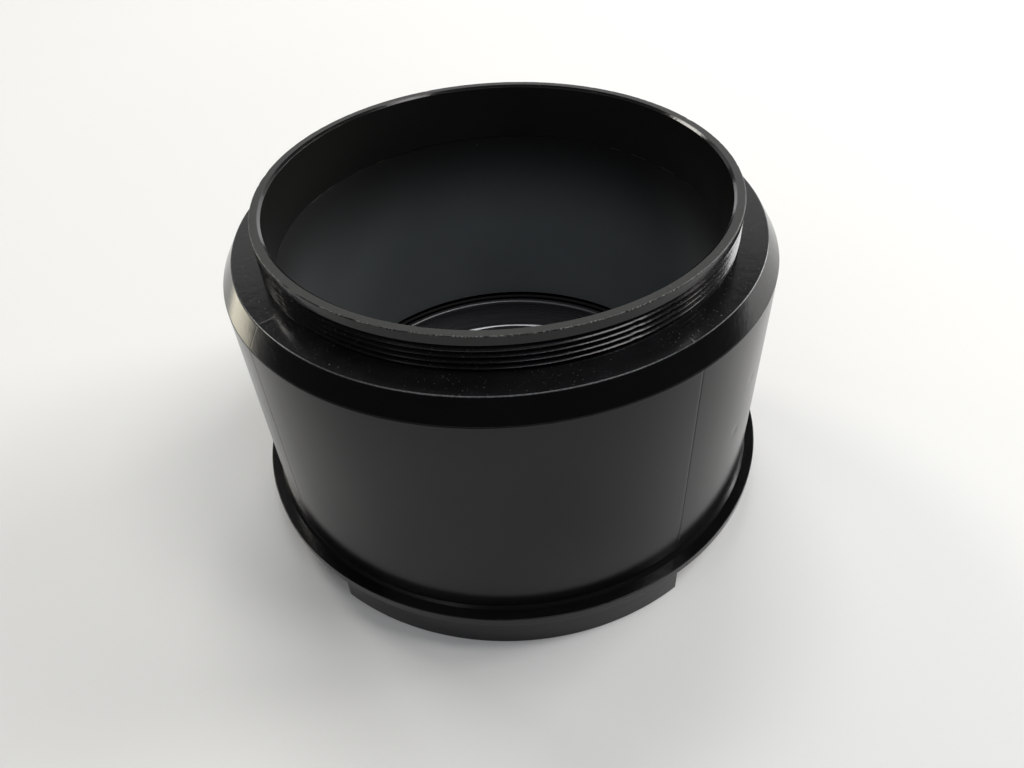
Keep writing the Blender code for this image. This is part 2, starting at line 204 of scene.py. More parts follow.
def fillet(before, corner, after, radius):
    """The arc that rounds a corner, with a support point just past each end to keep the flats flat."""
    a = unit(before[0] - corner[0], before[1] - corner[1])
    b = unit(after[0] - corner[0], after[1] - corner[1])
    half = math.acos(max(-1.0, min(1.0, a[0] * b[0] + a[1] * b[1]))) / 2
    middle = math.hypot(a[0] + b[0], a[1] + b[1])
    reach = radius / math.sin(half)
    tangent = radius / math.tan(half)
    centre = [corner[i] + (a[i] + b[i]) / middle * reach for i in (0, 1)]
    start = [corner[i] + a[i] * tangent - centre[i] for i in (0, 1)]
    side = 1 if a[0] * b[1] - a[1] * b[0] < 0 else -1
    support = tangent + 0.2 * radius
    points = [(corner[0] + a[0] * support, corner[1] + a[1] * support)]
    for step in range(ARC_STEPS + 1):
        turn = side * (math.pi - 2 * half) * step / ARC_STEPS
        points.append((
            centre[0] + start[0] * math.cos(turn) - start[1] * math.sin(turn),
            centre[1] + start[0] * math.sin(turn) + start[1] * math.cos(turn),
        ))
    points.append((corner[0] + b[0] * support, corner[1] + b[1] * support))
    return points


def outline(corners):
    """Points of a closed section. A corner is (radius, height, fillet radius)."""
    points = []
    for i, corner in enumerate(corners):
        points += fillet(corners[i - 1], corner, corners[(i + 1) % len(corners)], corner[2])
    return points


def divided(points, longest, beyond):
    """The same closed section with its long stretches split where they lie beyond this radius.
    Dents and grooves can then be shaped along them."""
    result = []
    for here, there in zip(points, points[1:] + points[:1]):
        length = math.hypot(there[0] - here[0], there[1] - here[1])
        count = max(1, math.ceil(length / longest)) if min(here[0], there[0]) > beyond else 1
        for i in range(count):
            share = i / count
            radius = here[0] + (there[0] - here[0]) * share
            height = here[1] + (there[1] - here[1]) * share
            result.append((radius, height))
    return result


def even_angles(count):
    return [2 * math.pi * i / count for i in range(count)]


def angles_with_mould_lines(count):
    """Even angles, with closer ones at each moulding line so that its fine groove is in the mesh."""
    step = 2 * math.pi / count
    close = [MOULD_LINE_HALF_WIDTH / BARREL_RADIUS * share for share in (-2, -1, -0.5, 0, 0.5, 1, 2)]
    kept = [a for a in even_angles(count) if all(abs(a - line) > 0.6 * step for line in MOULD_LINES)]
    return sorted(kept + [line + offset for line in MOULD_LINES for offset in close])


def polar(radius, angle, height):
    return Vector((radius * math.cos(angle), radius * math.sin(angle), height)) * MM


def add_object(name, mesh):
    piece = bpy.data.objects.new(name, mesh)
    bpy.context.scene.collection.objects.link(piece)
    return piece


def finish_mesh(name, bm):
    bmesh.ops.recalc_face_normals(bm, faces=bm.faces)
    mesh = bpy.data.meshes.new(name)
    bm.to_mesh(mesh)
    bm.free()
    mesh.shade_smooth()
    mesh.set_sharp_from_angle(angle=SHARP_ANGLE)
    return mesh


def lathe(name, section, angles, shape=None, closed=True):
    """A turned piece. shape(radius, angle, height) gives each point's radius and height.
    An open section starts and ends on the axis, and its two ends become poles."""
    bm = bmesh.new()
    rows = []
    for radius, height in section:
        if radius < 1e-6:
            rows.append([bm.verts.new(polar(0, 0, height))])
            continue
        row = []
        for angle in angles:
            place = shape(radius, angle, height) if shape else (radius, height)
            row.append(bm.verts.new(polar(place[0], angle, place[1])))
        rows.append(row)
    pairs = list(zip(rows, rows[1:] + rows[:1])) if closed else list(zip(rows, rows[1:]))
    count = len(angles)
    for upper, lower in pairs:
        for i in range(count):
            j = (i + 1) % count
            if len(upper) == 1:
                bm.faces.new((upper[0], lower[i], lower[j]))
            elif len(lower) == 1:
                bm.faces.new((upper[i], lower[0], upper[j]))
            else:
                bm.faces.new((upper[i], lower[i], lower[j], upper[j]))
    return add_object(name, finish_mesh(name, bm))


def boolean(piece, others, operation):
    """Cuts or joins the others, which are then removed, and keeps the result as plain geometry."""
    for other in others:
        modifier = piece.modifiers.new(other.name, "BOOLEAN")
        modifier.object = other
        modifier.operation = operation
        modifier.solver = "EXACT"
    graph = bpy.context.evaluated_depsgraph_get()
    result = bpy.data.meshes.new_from_object(piece.evaluated_get(graph))
    piece.modifiers.clear()
    old = piece.data
    piece.data = result
    piece.data.name = old.name
    bpy.data.meshes.remove(old)
    for other in others:
        bpy.data.objects.remove(other)
    piece.data.shade_smooth()
    piece.data.set_sharp_from_angle(angle=SHARP_ANGLE)
    return piece


def cutter_block(name, size, centre, angle=0.0):
    bm = bmesh.new()
    place = Matrix.Translation(Vector(centre) * MM) @ Matrix.Rotation(angle, 4, "Z")
    bmesh.ops.create_cube(bm, size=1.0, matrix=place @ Matrix.Diagonal((*(v * MM for v in size), 1)))
    return add_object(name, finish_mesh(name, bm))


def sector(name, inner, outer, low, high, start, span, steps=48):
    """A thick arc with flat ends."""
    bm = bmesh.new()
    rings = []
    for i in range(steps + 1):
        angle = start + span * i / steps
        corners = [(inner, low), (outer, low), (outer, high), (inner, high)]
        rings.append([bm.verts.new(polar(r, angle, z)) for r, z in corners])
    for here, there in zip(rings, rings[1:]):
        for i in range(4):
            bm.faces.new((here[i], here[(i + 1) % 4], there[(i + 1) % 4], there[i]))
    bm.faces.new(rings[0])
    bm.faces.new(rings[-1][::-1])
    return add_object(name, finish_mesh(name, bm))


def moved(piece, radius, angle, height):
    piece.data.transform(Matrix.Translation(polar(radius, angle, height)))
    return piece


def noise_round(angle, scale, layer):
    """Noise that changes round the axis. Each layer is another pattern."""
    return noise.noise(Vector((math.cos(angle), math.sin(angle), layer)) * scale)


def mould_line(angle):
    """How far the outside is moved at this azimuth: in at each moulding line's groove, out at its lip."""
    for line in MOULD_LINES:
        away = (angle - line) * BARREL_RADIUS / MOULD_LINE_HALF_WIDTH
        if abs(away) < 2.5:
            groove = math.exp(-2 * away ** 2)
            lip = 0.35 * math.exp(-3 * (away - 1.4) ** 2)
            return MOULD_LINE_DEPTH * (lip - groove)
    return 0.0


# ---------------------------------------------------------------- front ring

def rim_wear(radius, angle, height):
    """Small nicks and flattened spots on the outer edge of the rim."""
    reach = 0.32
    edge = max(0.0, 1 - math.hypot(radius - THREAD_CREST, height - RIM_TOP) / reach)
    if edge == 0:
        return radius, height
    spot = max(0.0, noise_round(angle, 34, 0.3) - 0.22)
    nick = max(0.0, noise_round(angle, 110, 1.7) - 0.15)
    bite = edge * (0.07 * spot + 0.03 * nick)
    return radius - bite, height - bite


def front_ring_shape(radius, angle, height):
    """The worn rim, and the moulding lines on the shoulder and the chamfer."""
    radius, height = rim_wear(radius, angle, height)
    on_shoulder = abs(height - SHOULDER_HEIGHT) < 0.01
    on_chamfer = CHAMFER_LOW - 0.1 < height <= SHOULDER_HEIGHT - 0.01
    if radius > THREAD_ROOT + 0.3 and on_shoulder:
        return radius, height + SHOULDER_LINE_SHARE * mould_line(angle)
    if radius > THREAD_ROOT + 0.3 and on_chamfer:
        return radius + CHAMFER_LINE_SHARE * mould_line(angle), height
    return radius, height


def crest_wear(angle):
    """How far the thread's crest is worn down: knocks, moulding lines and a fine unevenness."""
    turn = angle % (2 * math.pi)
    deepest = 0.0
    for place, depth in THREAD_KNOCKS + [(line, 0.08) for line in MOULD_LINES]:
        deepest = max(deepest, depth * math.exp(-((turn - place) / KNOCK_WIDTH) ** 2))
    drift = angle * 0.2
    coarse = 0.006 * abs(noise_round(angle, 30, drift))
    fine = 0.004 * abs(noise_round(angle, 120, drift))
    return deepest + coarse + fine


def ridge_section(crest, share, last):
    """Section of the thread: radius, and height from the middle of the crest in pitches. share is how far
    the ridge has risen from its run-out. last is 1 on the last turn, whose upper side slopes more gently."""
    buried = THREAD_ROOT - 0.15
    shoulder = buried + (crest - buried) * 0.9
    flat = 0.035 + 0.03 * last
    slope = 0.055 + 0.272 * last
    slope_foot = shoulder - 0.36 * last * share
    return [
        (buried, -0.45),
        (shoulder, -flat - 0.055),
        (crest, -flat),
        (crest, flat),
        (slope_foot, flat + slope),
        (buried, 0.45 + 0.10 * last),
    ]


def thread_ridge():
    """The ridge of the front thread, a helix whose two ends run out into the root."""
    count = round(THREAD_TURNS * THREAD_STEPS)
    run_out = THREAD_STEPS // 8
    sunk = THREAD_ROOT - 0.05
    bm = bmesh.new()
    rings = []
    for i in range(count + 1):
        turns = (i + THREAD_PHASE) / THREAD_STEPS
        angle = THREAD_START + 2 * math.pi * turns
        height = THREAD_START_HEIGHT + THREAD_PITCH * turns
        share = min(1.0, i / run_out, (count - i) / run_out)
        last = min(1.0, max(0.0, (i - count + THREAD_STEPS) / run_out))
        crest = sunk + (THREAD_CREST - crest_wear(angle) - sunk) * share
        section = ridge_section(crest, share, last)
        rings.append([bm.verts.new(polar(r, angle, height + z * THREAD_PITCH)) for r, z in section])
    sides = len(rings[0])
    for low, high in zip(rings, rings[1:]):
        for i in range(sides):
            j = (i + 1) % sides
            bm.faces.new((low[i], low[j], high[j], high[i]))
    bm.faces.new(rings[0])
    bm.faces.new(rings[-1][::-1])
    return add_object("thread_ridge", finish_mesh("thread_ridge", bm))


def front_ring():
    """Rim, threaded neck, flat shoulder and chamfer, with the spigot that is bonded into the barrel."""
    section = outline([
        (THREAD_CREST, RIM_TOP, 0.14),
        (THREAD_CREST, LAND_LOW, 0.05),
        (THREAD_ROOT, LAND_LOW - LAND_SLOPE, 0.04),
        (THREAD_ROOT, SHOULDER_HEIGHT + NECK_FOOT_HEIGHT, 0.05),
        (THREAD_ROOT + NECK_FOOT_WIDTH, SHOULDER_HEIGHT, 0.05),
        (SHOULDER_RADIUS, SHOULDER_HEIGHT, 0.17),
        (BARREL_RADIUS, CHAMFER_LOW, 0.06),
        (FRONT_SPIGOT_RADIUS + 0.1, CHAMFER_LOW - FINE_JOINT, 0.02),
        (FRONT_SPIGOT_RADIUS, FRONT_SPIGOT_LOW, 0.15),
        (FRONT_SPIGOT_INNER, FRONT_SPIGOT_LOW, 0.15),
        (FRONT_SPIGOT_INNER, RECESS_TOP, 0.1),
        (RECESS_RADIUS, RECESS_TOP, 0.1),
        (RECESS_RADIUS, SEAM_HEIGHT, 0.05),
        (BORE_RADIUS, SEAM_HEIGHT, 0.05),
        (BORE_RADIUS, RIM_TOP - BEVEL_DROP, 0.06),
        (BORE_RADIUS + BEVEL_WIDTH, RIM_TOP, 0.05),
    ])
    ring = lathe("front_ring_moulding", section, angles_with_mould_lines(RIM_STEPS), front_ring_shape)
    return boolean(ring, [thread_ridge()], "UNION")


# ---------------------------------------------------------------- barrel and liner

def screw_angles():
    return [LUG_CENTRE + math.pi / LUG_COUNT + 2 * math.pi * i / LUG_COUNT for i in range(LUG_COUNT)]


def barrel_shape(radius, angle, height):
    """The moulding lines and the small dents of the outside."""
    if radius < BARREL_RADIUS - 0.5:
        return radius, height
    radius += mould_line(angle)
    for place, level, size in DENTS:
        away = math.hypot((angle - place) * BARREL_RADIUS, height - level) / size
        if away < 2.5:
            radius -= DENT_DEPTH * math.exp(-away * away)
    return radius, height


def boss(number, angle):
    """A tube inside the barrel that takes a flange screw."""
    section = outline([
        (BOSS_RADIUS, BOSS_TOP, 0.15),
        (BOSS_RADIUS, BOSS_LOW, 0.05),
        (SCREW_HOLE, BOSS_LOW, 0.05),
        (SCREW_HOLE, BOSS_TOP, 0.05),
    ])
    return moved(lathe(f"boss_{number}", section, even_angles(HOLE_STEPS)), SCREW_CIRCLE, angle, 0)


def boss_hole(number, angle):
    section = [(0, SCREW_HOLE_TOP), (SCREW_HOLE, SCREW_HOLE_TOP), (SCREW_HOLE, 5), (0, 5)]
    hole = lathe(f"hole_{number}", section, even_angles(HOLE_STEPS), closed=False)
    return moved(hole, SCREW_CIRCLE, angle, 0)


def barrel():
    """The matte outer shell, down to a soft ledge on the flange, with its three screw bosses inside."""
    inner = BARREL_RADIUS - BARREL_WALL
    top = CHAMFER_LOW - JOINT
    base = FLANGE_TOP + FINE_JOINT
    section = outline([
        (BARREL_RADIUS, top, 0.05),
        (BARREL_RADIUS, base + LEDGE_HEIGHT, 0.1),
        (BARREL_RADIUS + LEDGE_WIDTH, base, 0.02),
        (inner, base, 0.1),
        (inner, top, 0.1),
    ])
    section = divided(section, 0.5, BARREL_RADIUS - 0.1)
    shell = lathe("barrel_shell", section, angles_with_mould_lines(FINE), barrel_shape)
    bosses, holes = [], []
    for number, angle in enumerate(screw_angles(), 1):
        bosses.append(boss(number, angle))
        holes.append(boss_hole(number, angle))
    boolean(shell, bosses, "UNION")
    return boolean(shell, holes, "DIFFERENCE")


def liner():
    section = outline([
        (LINER_OUTER, SEAM_HEIGHT - FINE_JOINT, 0.05),
        (LINER_OUTER, LINER_LOW, 0.05),
        (LINER_RADIUS, LINER_LOW, 0.12),
        (LINER_RADIUS, SEAM_HEIGHT - FINE_JOINT, 0.07),
    ])
    return lathe("bore_liner", section, even_angles(FINE))


# ---------------------------------------------------------------- foot

def foot_shape(radius, angle, height):
    if radius > FLANGE_RADIUS - 1.2:
        return radius + mould_line(angle), height
    return radius, height


def lug_gap(number, angle):
    """The space between two lugs."""
    span = 2 * math.pi / LUG_COUNT - LUG_SPAN
    return sector(f"gap_{number}", 30.5, 38, -1, FLANGE_LOW + 0.001, angle - span / 2, span)


def countersink(number, angle):
    section = [(0, 7), (SCREW_HOLE, 7), (SCREW_HOLE, SINK_NECK), (SINK_RADIUS, SINK_LOW), (0, SINK_LOW)]
    sink = lathe(f"sink_{number}", section, even_angles(SCREW_STEPS), closed=False)
    return moved(sink, SCREW_CIRCLE, angle, 0)


def pin_hole():
    section = [(0, 7), (STOP_PIN_HOLE, 7), (STOP_PIN_HOLE, 4), (0, 4)]
    hole = lathe("pin_hole", section, even_angles(HOLE_STEPS), closed=False)
    return moved(hole, SCREW_CIRCLE, STOP_PIN_ANGLE, 0)


def foot_ring():
    """Flange, three lugs with inward tabs, and the spigot that the lens cell screws into."""
    section = outline([
        (FLANGE_RADIUS, FLANGE_TOP, 0.1),
        (FLANGE_RADIUS, FLANGE_LOW, 0.12),
        (FOOT_RADIUS, FLANGE_LOW, 0.08),
        (FOOT_RADIUS, 0, 0.16),
        (TAB_RADIUS, 0, 0.16),
        (TAB_RADIUS, TAB_THICKNESS, 0.1),
        (CHANNEL_RADIUS, TAB_THICKNESS, 0.1),
        (CHANNEL_RADIUS, FLANGE_LOW, 0.1),
        (SPIGOT_RADIUS, FLANGE_LOW, 0.1),
        (SPIGOT_RADIUS, SPIGOT_LOW, 0.12),
        (CELL_BORE, SPIGOT_LOW, 0.12),
        (CELL_BORE, FLANGE_TOP, 0.06),
        (SEAT_RADIUS, FLANGE_TOP, 0.06),
        (SEAT_RADIUS, LINER_LOW - JOINT, 0.06),
        (SEAT_OUTER, LINER_LOW - JOINT, 0.06),
        (SEAT_OUTER, FLANGE_TOP, 0.06),
    ])
    ring = lathe("foot_ring", section, angles_with_mould_lines(FINE), foot_shape)
    cutters = []
    for number, angle in enumerate(screw_angles(), 1):
        cutters.append(lug_gap(number, angle))
        cutters.append(countersink(number, angle))
    cutters.append(pin_hole())
    return boolean(ring, cutters, "DIFFERENCE")


def flange_screw(number, angle):
    """A countersunk cross-head screw, head down."""
    low = bottom_of(f"flange_screw_{number}")
    high = top_of(f"flange_screw_{number}")
    section = [
        (0, high),
        (0.5, high),
        (SCREW_SHANK, high - 0.3),
        (SCREW_SHANK, low + 1.0),
        (SCREW_HEAD - 0.13, low + 0.14),
        (SCREW_HEAD, low + 0.07),
        (SCREW_HEAD - 0.06, low),
        (0, low),
    ]
    screw = lathe(f"countersunk_screw_{number}", section, even_angles(SCREW_STEPS), closed=False)
    arms = []
    for arm in (0, 1):
        arms.append(cutter_block(f"arm_{number}_{arm}", CROSS_SLOT, (0, 0, low), arm * math.pi / 2))
    boolean(screw, arms, "DIFFERENCE")
    return moved(screw, SCREW_CIRCLE, angle, 0)


def stop_pin():
    """The pin that ends the bayonet's turn, with a rounded tip."""
    low = bottom_of("bayonet_stop_pin")
    high = top_of("bayonet_stop_pin")
    section = [
        (0, high),
        (STOP_PIN_RADIUS, high),
        (STOP_PIN_RADIUS, low + 0.22),
        (STOP_PIN_RADIUS - 0.04, low + 0.1),
        (STOP_PIN_RADIUS - 0.18, low),
        (0, low),
    ]
    pin = lathe("stop_pin", section, even_angles(HOLE_STEPS), closed=False)
    return moved(pin, SCREW_CIRCLE, STOP_PIN_ANGLE, 0)


# ---------------------------------------------------------------- lens cell and glass

def light_seal():
    low, high = bottom_of("light_seal_ring"), top_of("light_seal_ring")
    cord = (high - low) / 2
    middle = radius_of("light_seal_ring") - cord
    turns = [-2 * math.pi * i / CORD_STEPS for i in range(CORD_STEPS)]
    section = [(middle + cord * math.cos(turn), low + cord + cord * math.sin(turn)) for turn in turns]
    return lathe("light_seal_cord", section, even_angles(MEDIUM))


def cell():
    """A threaded cup with a rounded lip, a bevelled floor and a raised hub for the glass."""
    section = outline([
        (CELL_RADIUS, CELL_LIP, 0.2),
        (CELL_RADIUS, CELL_LOW, 0.2),
        (REAR_APERTURE, CELL_LOW, 0.1),
        (REAR_APERTURE, GLASS_SEAT, 0.05),
        (HUB_BORE, GLASS_SEAT, 0.05),
        (HUB_BORE, HUB_TOP, 0.12),
        (HUB_RADIUS, HUB_TOP, 0.4),
        (HUB_RADIUS, CELL_FLOOR, 0.25),
        (BEVEL_INNER, CELL_FLOOR, 0.1),
        (CELL_WALL_INSIDE, BEVEL_HIGH, 0.15),
        (CELL_WALL_INSIDE, CELL_LIP, 0.7),
    ])
    turned = lathe("cell_turning", section, even_angles(FINE))
    slots = []
    for side in (-1, 1):
        slots.append(cutter_block(f"slot_{side}", CELL_SLOT, (side * CELL_RADIUS, 0, CELL_LOW)))
    return boolean(turned, slots, "DIFFERENCE")


def sag(curve, radius):
    return curve - math.sqrt(curve ** 2 - radius ** 2)


def lens(name, node, upper_curve, lower_curve, upper_bowl, lower_bowl):
    """A lens between two spherical faces, with bevelled edges. A bowl is lowest in the middle."""
    low, high, edge = bottom_of(node), top_of(node), radius_of(node)
    radii = [(edge - GLASS_BEVEL) * i / GLASS_STEPS for i in range(GLASS_STEPS + 1)]
    upper_middle = high - sag(upper_curve, edge) if upper_bowl else high
    lower_middle = low if lower_bowl else low + sag(lower_curve, edge)
    upper = [(r, upper_middle + (1 if upper_bowl else -1) * sag(upper_curve, r)) for r in radii]
    lower = [(r, lower_middle + (1 if lower_bowl else -1) * sag(lower_curve, r)) for r in radii]
    rim = [(edge, upper[-1][1] - GLASS_BEVEL), (edge, lower[-1][1] + GLASS_BEVEL)]
    return lathe(name, upper + rim + lower[::-1], even_angles(MEDIUM), closed=False)


def plain_ring(name, node, inner, edge):
    """A flat ring as high and as wide as the node, with rounded edges."""
    low, high, outer = bottom_of(node), top_of(node), radius_of(node)
    corners = [(outer, high, edge), (outer, low, edge), (inner, low, edge), (inner, high, edge)]
    return lathe(name, outline(corners), even_angles(MEDIUM))


def retainer():
    ring = plain_ring("slotted_retainer", "retaining_ring", RETAINER_INNER, 0.1)
    middle = (RETAINER_INNER + radius_of("retaining_ring")) / 2
    slots = []
    for side in (-1, 1):
        slots.append(cutter_block(f"notch_{side}", RETAINER_SLOT, (side * middle, 0, RETAINER_TOP)))
    return boolean(ring, slots, "DIFFERENCE")


# ---------------------------------------------------------------- materials

class Shader:
    """A Principled material whose nodes work in the object's own millimetres."""

    def __init__(self, name):
        self.material = bpy.data.materials.new(name)
        self.material.use_nodes = True
        self.nodes = self.material.node_tree.nodes
        self.links = self.material.node_tree.links
        self.principled = self.nodes["Principled BSDF"]
        coordinates = self.nodes.new("ShaderNodeTexCoord")
        scale = self.nodes.new("ShaderNodeMapping")
        scale.inputs["Scale"].default_value = (1 / MM,) * 3
        self.links.new(coordinates.outputs["Object"], scale.inputs["Vector"])
        self.place = scale.outputs["Vector"]
        split = self.nodes.new("ShaderNodeSeparateXYZ")
        self.links.new(self.place, split.inputs["Vector"])
        self.height = split.outputs["Z"]
        squares = self.sum(self.times(split.outputs["X"], split.outputs["X"]),
                           self.times(split.outputs["Y"], split.outputs["Y"]))
        self.radius = self.calculate("SQRT", squares)

    def plug(self, value, socket):
        if isinstance(value, bpy.types.NodeSocket):
            self.links.new(value, socket)
        else:
            socket.default_value = value

    def calculate(self, operation, *values):
        node = self.nodes.new("ShaderNodeMath")
        node.operation = operation
        for value, socket in zip(values, node.inputs):
            self.plug(value, socket)
        return node.outputs["Value"]

    def sum(self, a, b):
        return self.calculate("ADD", a, b)

    def times(self, a, b):
        return self.calculate("MULTIPLY", a, b)

    def larger(self, a, b):
        return self.calculate("MAXIMUM", a, b)

    def noise(self, scale, detail=2.0, roughness=0.5, place=None):
        node = self.nodes.new("ShaderNodeTexNoise")
        self.plug(place or self.place, node.inputs["Vector"])
        node.inputs["Scale"].default_value = scale
        node.inputs["Detail"].default_value = detail
        node.inputs["Roughness"].default_value = roughness
        return node.outputs["Fac"]

    def around(self, across, along=0.0):
        """Coordinates that hardly change round the axis: noise on them gives turning lines."""
        node = self.nodes.new("ShaderNodeCombineXYZ")
        self.links.new(self.times(self.radius, across), node.inputs["X"])
        self.links.new(self.times(self.height, across), node.inputs["Y"])
        drift = self.noise(along) if along else 0.0
        self.plug(drift, node.inputs["Z"])
        return node.outputs["Vector"]

    def stretch(self, value, low, high, out_low=0.0, out_high=1.0):
        """The value eased from one range to another. It falls where low is above high."""
        node = self.nodes.new("ShaderNodeMapRange")
        node.interpolation_type = "SMOOTHSTEP"
        for number, item in enumerate((value, low, high, out_low, out_high)):
            self.plug(item, node.inputs[number])
        return node.outputs["Result"]

    def specks(self, scale, size, share):
        """Sparse round grains, each with its own strength. share is how many of the cells hold one."""
        node = self.nodes.new("ShaderNodeTexVoronoi")
        self.links.new(self.place, node.inputs["Vector"])
        node.inputs["Scale"].default_value = scale
        colour = self.nodes.new("ShaderNodeSeparateColor")
        self.links.new(node.outputs["Color"], colour.inputs["Color"])
        chosen = self.calculate("LESS_THAN", colour.outputs["Red"], share)
        reach = self.times(colour.outputs["Green"], size)
        grain = self.calculate("LESS_THAN", node.outputs["Distance"], reach)
        return self.times(self.times(chosen, grain), self.stretch(colour.outputs["Blue"], -0.3, 1.0))

    def near_edge(self, radius, height, reach):
        """1 on the turned edge at this radius and height, falling to 0 at reach millimetres from it."""
        across = self.calculate("SUBTRACT", self.radius, radius)
        up = self.calculate("SUBTRACT", self.height, height)
        away = self.calculate("SQRT", self.sum(self.times(across, across), self.times(up, up)))
        return self.stretch(away, 0.0, reach, 1.0, 0.0)

    def upward(self, low=0.6, high=0.95):
        """1 on surfaces that face up, where dust settles."""
        geometry = self.nodes.new("ShaderNodeNewGeometry")
        split = self.nodes.new("ShaderNodeSeparateXYZ")
        self.links.new(geometry.outputs["Normal"], split.inputs["Vector"])
        return self.stretch(split.outputs["Z"], low, high)

    def blend(self, share, a, b):
        """A colour between a and b."""
        node = self.nodes.new("ShaderNodeMix")
        node.data_type = "RGBA"
        self.plug(share, node.inputs["Factor"])
        for value, socket in ((a, node.inputs["A"]), (b, node.inputs["B"])):
            self.plug((*value, 1.0) if isinstance(value, tuple) else value, socket)
        return node.outputs["Result"]

    def mix(self, share, a, b):
        """A number between a and b."""
        node = self.nodes.new("ShaderNodeMix")
        for value, socket in ((share, node.inputs["Factor"]), (a, node.inputs["A"]), (b, node.inputs["B"])):
            self.plug(value, socket)
        return node.outputs["Result"]

    def bump(self, height, distance, strength=1.0, below=None):
        """A normal for relief this deep in millimetres, on top of the relief below."""
        node = self.nodes.new("ShaderNodeBump")
        node.inputs["Strength"].default_value = strength
        node.inputs["Distance"].default_value = distance * MM
        self.links.new(height, node.inputs["Height"])
        if below:
            self.links.new(below, node.inputs["Normal"])
        return node.outputs["Normal"]

    def finish(self, colour, roughness, normal=None, **constants):
        self.plug(colour, self.principled.inputs["Base Color"])
        self.plug(roughness, self.principled.inputs["Roughness"])
        if normal:
            self.links.new(normal, self.principled.inputs["Normal"])
        for name, value in constants.items():
            self.principled.inputs[name.replace("_", " ")].default_value = value
        return self.material


def matte_black_plastic():
    """Barrel: fine spark-eroded texture with faint rub marks and a few grains of dust."""
    s = Shader("matte_black_plastic")
    grain = s.noise(7.0, 3.0, 0.6)
    cloud = s.noise(0.09, 3.0, 0.55)
    rubs = s.stretch(s.noise(1.1, 2.0, 0.5, s.around(1.6, 0.05)), 0.58, 0.75)
    dust = s.specks(1.3, 0.07, 0.05)
    colour = s.blend(cloud, (0.0040, 0.0041, 0.0044), (0.0062, 0.0063, 0.0067))
    colour = s.blend(s.times(rubs, 0.22), colour, (0.022, 0.022, 0.022))
    colour = s.blend(s.times(dust, 0.7), colour, (0.16, 0.155, 0.145))
    roughness = s.sum(s.mix(grain, 0.15, 0.24), s.times(rubs, -0.03))
    return s.finish(colour, roughness, s.bump(grain, 0.008, 0.35), Specular_IOR_Level=0.25)


def gloss_black_plastic():
    """Front ring and foot ring: gloss moulding with orange peel. The shoulder is dusty, the rim's edge is
    worn, and the flat of the rim is duller, with fine turning lines. The shoulder's edge is painted as a
    pale blue-grey line broken up like wear: partly wear, partly a painted highlight."""
    s = Shader("gloss_black_plastic")
    peel = s.noise(0.9, 2.0, 0.5)
    fine = s.noise(5.0, 2.0, 0.6)
    breaks = s.stretch(s.noise(5.5, 3.0, 0.75), 0.46, 0.60)
    lathe_lines = s.noise(1.0, 3.0, 0.6, s.around(9.0))

    up = s.upward()
    rim_inner = BORE_RADIUS + BEVEL_WIDTH
    on_rim = s.times(up, s.stretch(s.height, RIM_TOP - 0.2, RIM_TOP - 0.05))
    on_rim = s.times(s.stretch(s.radius, rim_inner - 0.06, rim_inner), on_rim)
    in_bore = s.times(s.stretch(s.radius, BORE_RADIUS + 0.4, BORE_RADIUS + 0.1),
                      s.stretch(s.height, RIM_TOP, RIM_TOP - 0.2))
    on_shoulder = s.times(up, s.stretch(s.height, SHOULDER_HEIGHT - 0.6, SHOULDER_HEIGHT - 0.3))

    grains = s.larger(s.times(s.specks(5.0, 0.25, 0.50), 0.6), s.specks(2.2, 0.15, 0.20))
    patches = s.stretch(s.noise(0.16, 2.0), 0.36, 0.52)
    dust = s.times(s.times(grains, s.mix(patches, 0.25, 1.0)), on_shoulder)
    worn_edge = s.near_edge(THREAD_CREST - 0.03, RIM_TOP - 0.03, 0.15)
    scuffs = s.times(worn_edge, s.times(breaks, s.stretch(s.noise(0.5), 0.32, 0.52)))
    # Mask for the shoulder's edge line: partly wear, partly a painted highlight along the edge
    edge = s.times(s.near_edge(SHOULDER_RADIUS, SHOULDER_HEIGHT, 0.14), s.mix(breaks, 0.35, 1.0))
    relief = s.larger(dust, scuffs)

    rim_colour = s.blend(s.times(lathe_lines, fine), (0.011, 0.0115, 0.0105), (0.029, 0.030, 0.0275))
    colour = s.blend(s.noise(0.2, 2.0), (0.0020, 0.0021, 0.0023), (0.0040, 0.0041, 0.0045))
    colour = s.blend(s.times(on_shoulder, s.noise(0.35, 3.0, 0.6)), colour, (0.013, 0.0135, 0.0142))
    colour = s.blend(in_bore, colour, (0.012, 0.0118, 0.011))
    colour = s.blend(on_rim, colour, rim_colour)
    colour = s.blend(s.times(dust, 0.8), colour, (0.20, 0.195, 0.18))
    colour = s.blend(s.times(scuffs, 0.85), colour, (0.26, 0.27, 0.24))
    # Painted highlight, partly wear: the shoulder's edge is lightened to a pale blue-grey line
    colour = s.blend(s.times(edge, 0.7), colour, (0.20, 0.21, 0.22))

    roughness = s.mix(fine, 0.10, 0.20)
    roughness = s.mix(on_rim, roughness, 0.55)
    roughness = s.mix(in_bore, roughness, 0.10)
    roughness = s.mix(relief, roughness, 0.75)

    normal = s.bump(peel, 0.026, 0.45)
    normal = s.bump(fine, 0.008, 0.5, normal)
    normal = s.bump(s.times(on_rim, lathe_lines), 0.02, 0.4, normal)
    normal = s.bump(relief, 0.05, 0.5, normal)
    return s.finish(colour, roughness, normal, Specular_IOR_Level=0.32)


